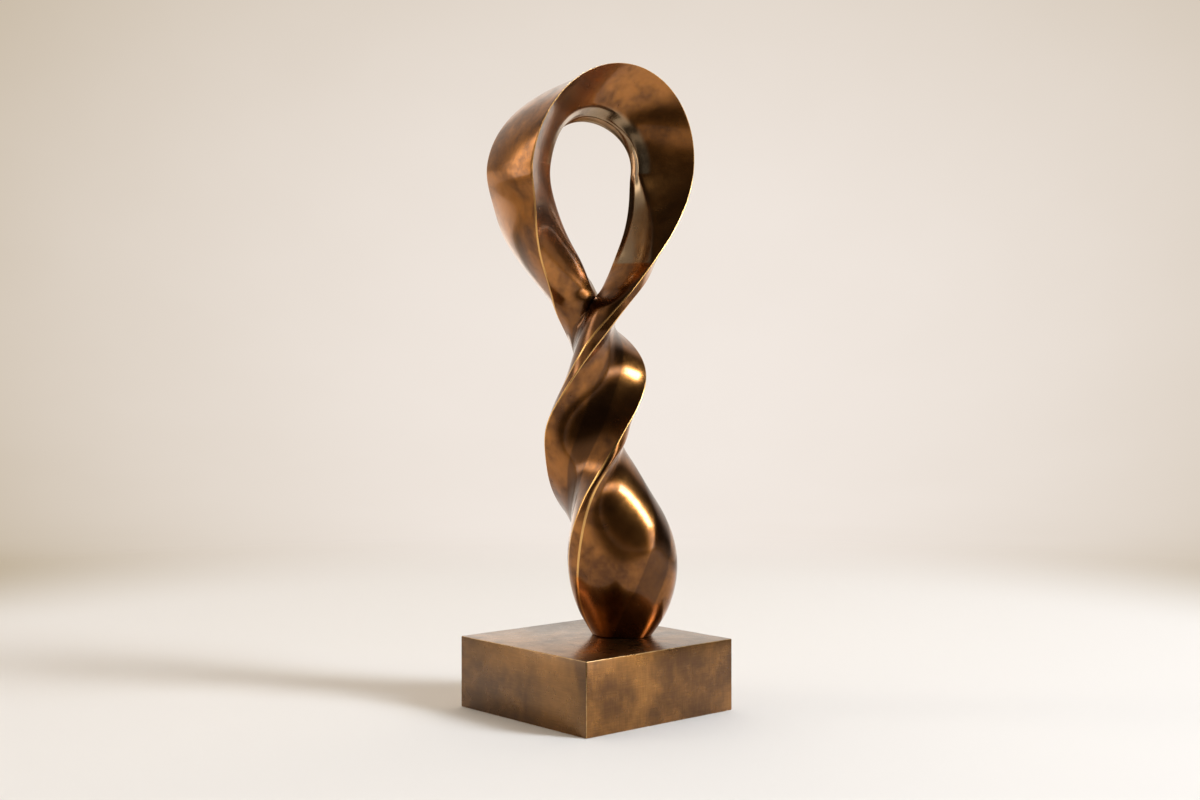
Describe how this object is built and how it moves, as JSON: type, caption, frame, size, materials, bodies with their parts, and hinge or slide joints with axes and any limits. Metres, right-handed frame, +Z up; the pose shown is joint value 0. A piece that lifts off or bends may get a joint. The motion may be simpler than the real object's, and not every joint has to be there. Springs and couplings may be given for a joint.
{
  "type": "abstract metal sculpture",
  "caption": "Abstract cast bronze: a broad open loop whose strands twist together and swell into an egg-shaped foot on a square plinth.",
  "frame": {"origin": "centre of the plinth's underside, on the surface it stands on", "axes": "+Z up; the loop faces -Y; +X to the right seen from the front"},
  "size_m": [0.1707, 0.15, 0.5015],
  "materials": {
    "bronze": "warm brown patina, glossy satin, edges rubbed bright",
    "plinth_bronze": "brushed antique bronze, satin"
  },
  "bodies": {
    "root": {"plinth": "plinth_bronze", "sculpture": "bronze"}
  },
  "joints": []
}
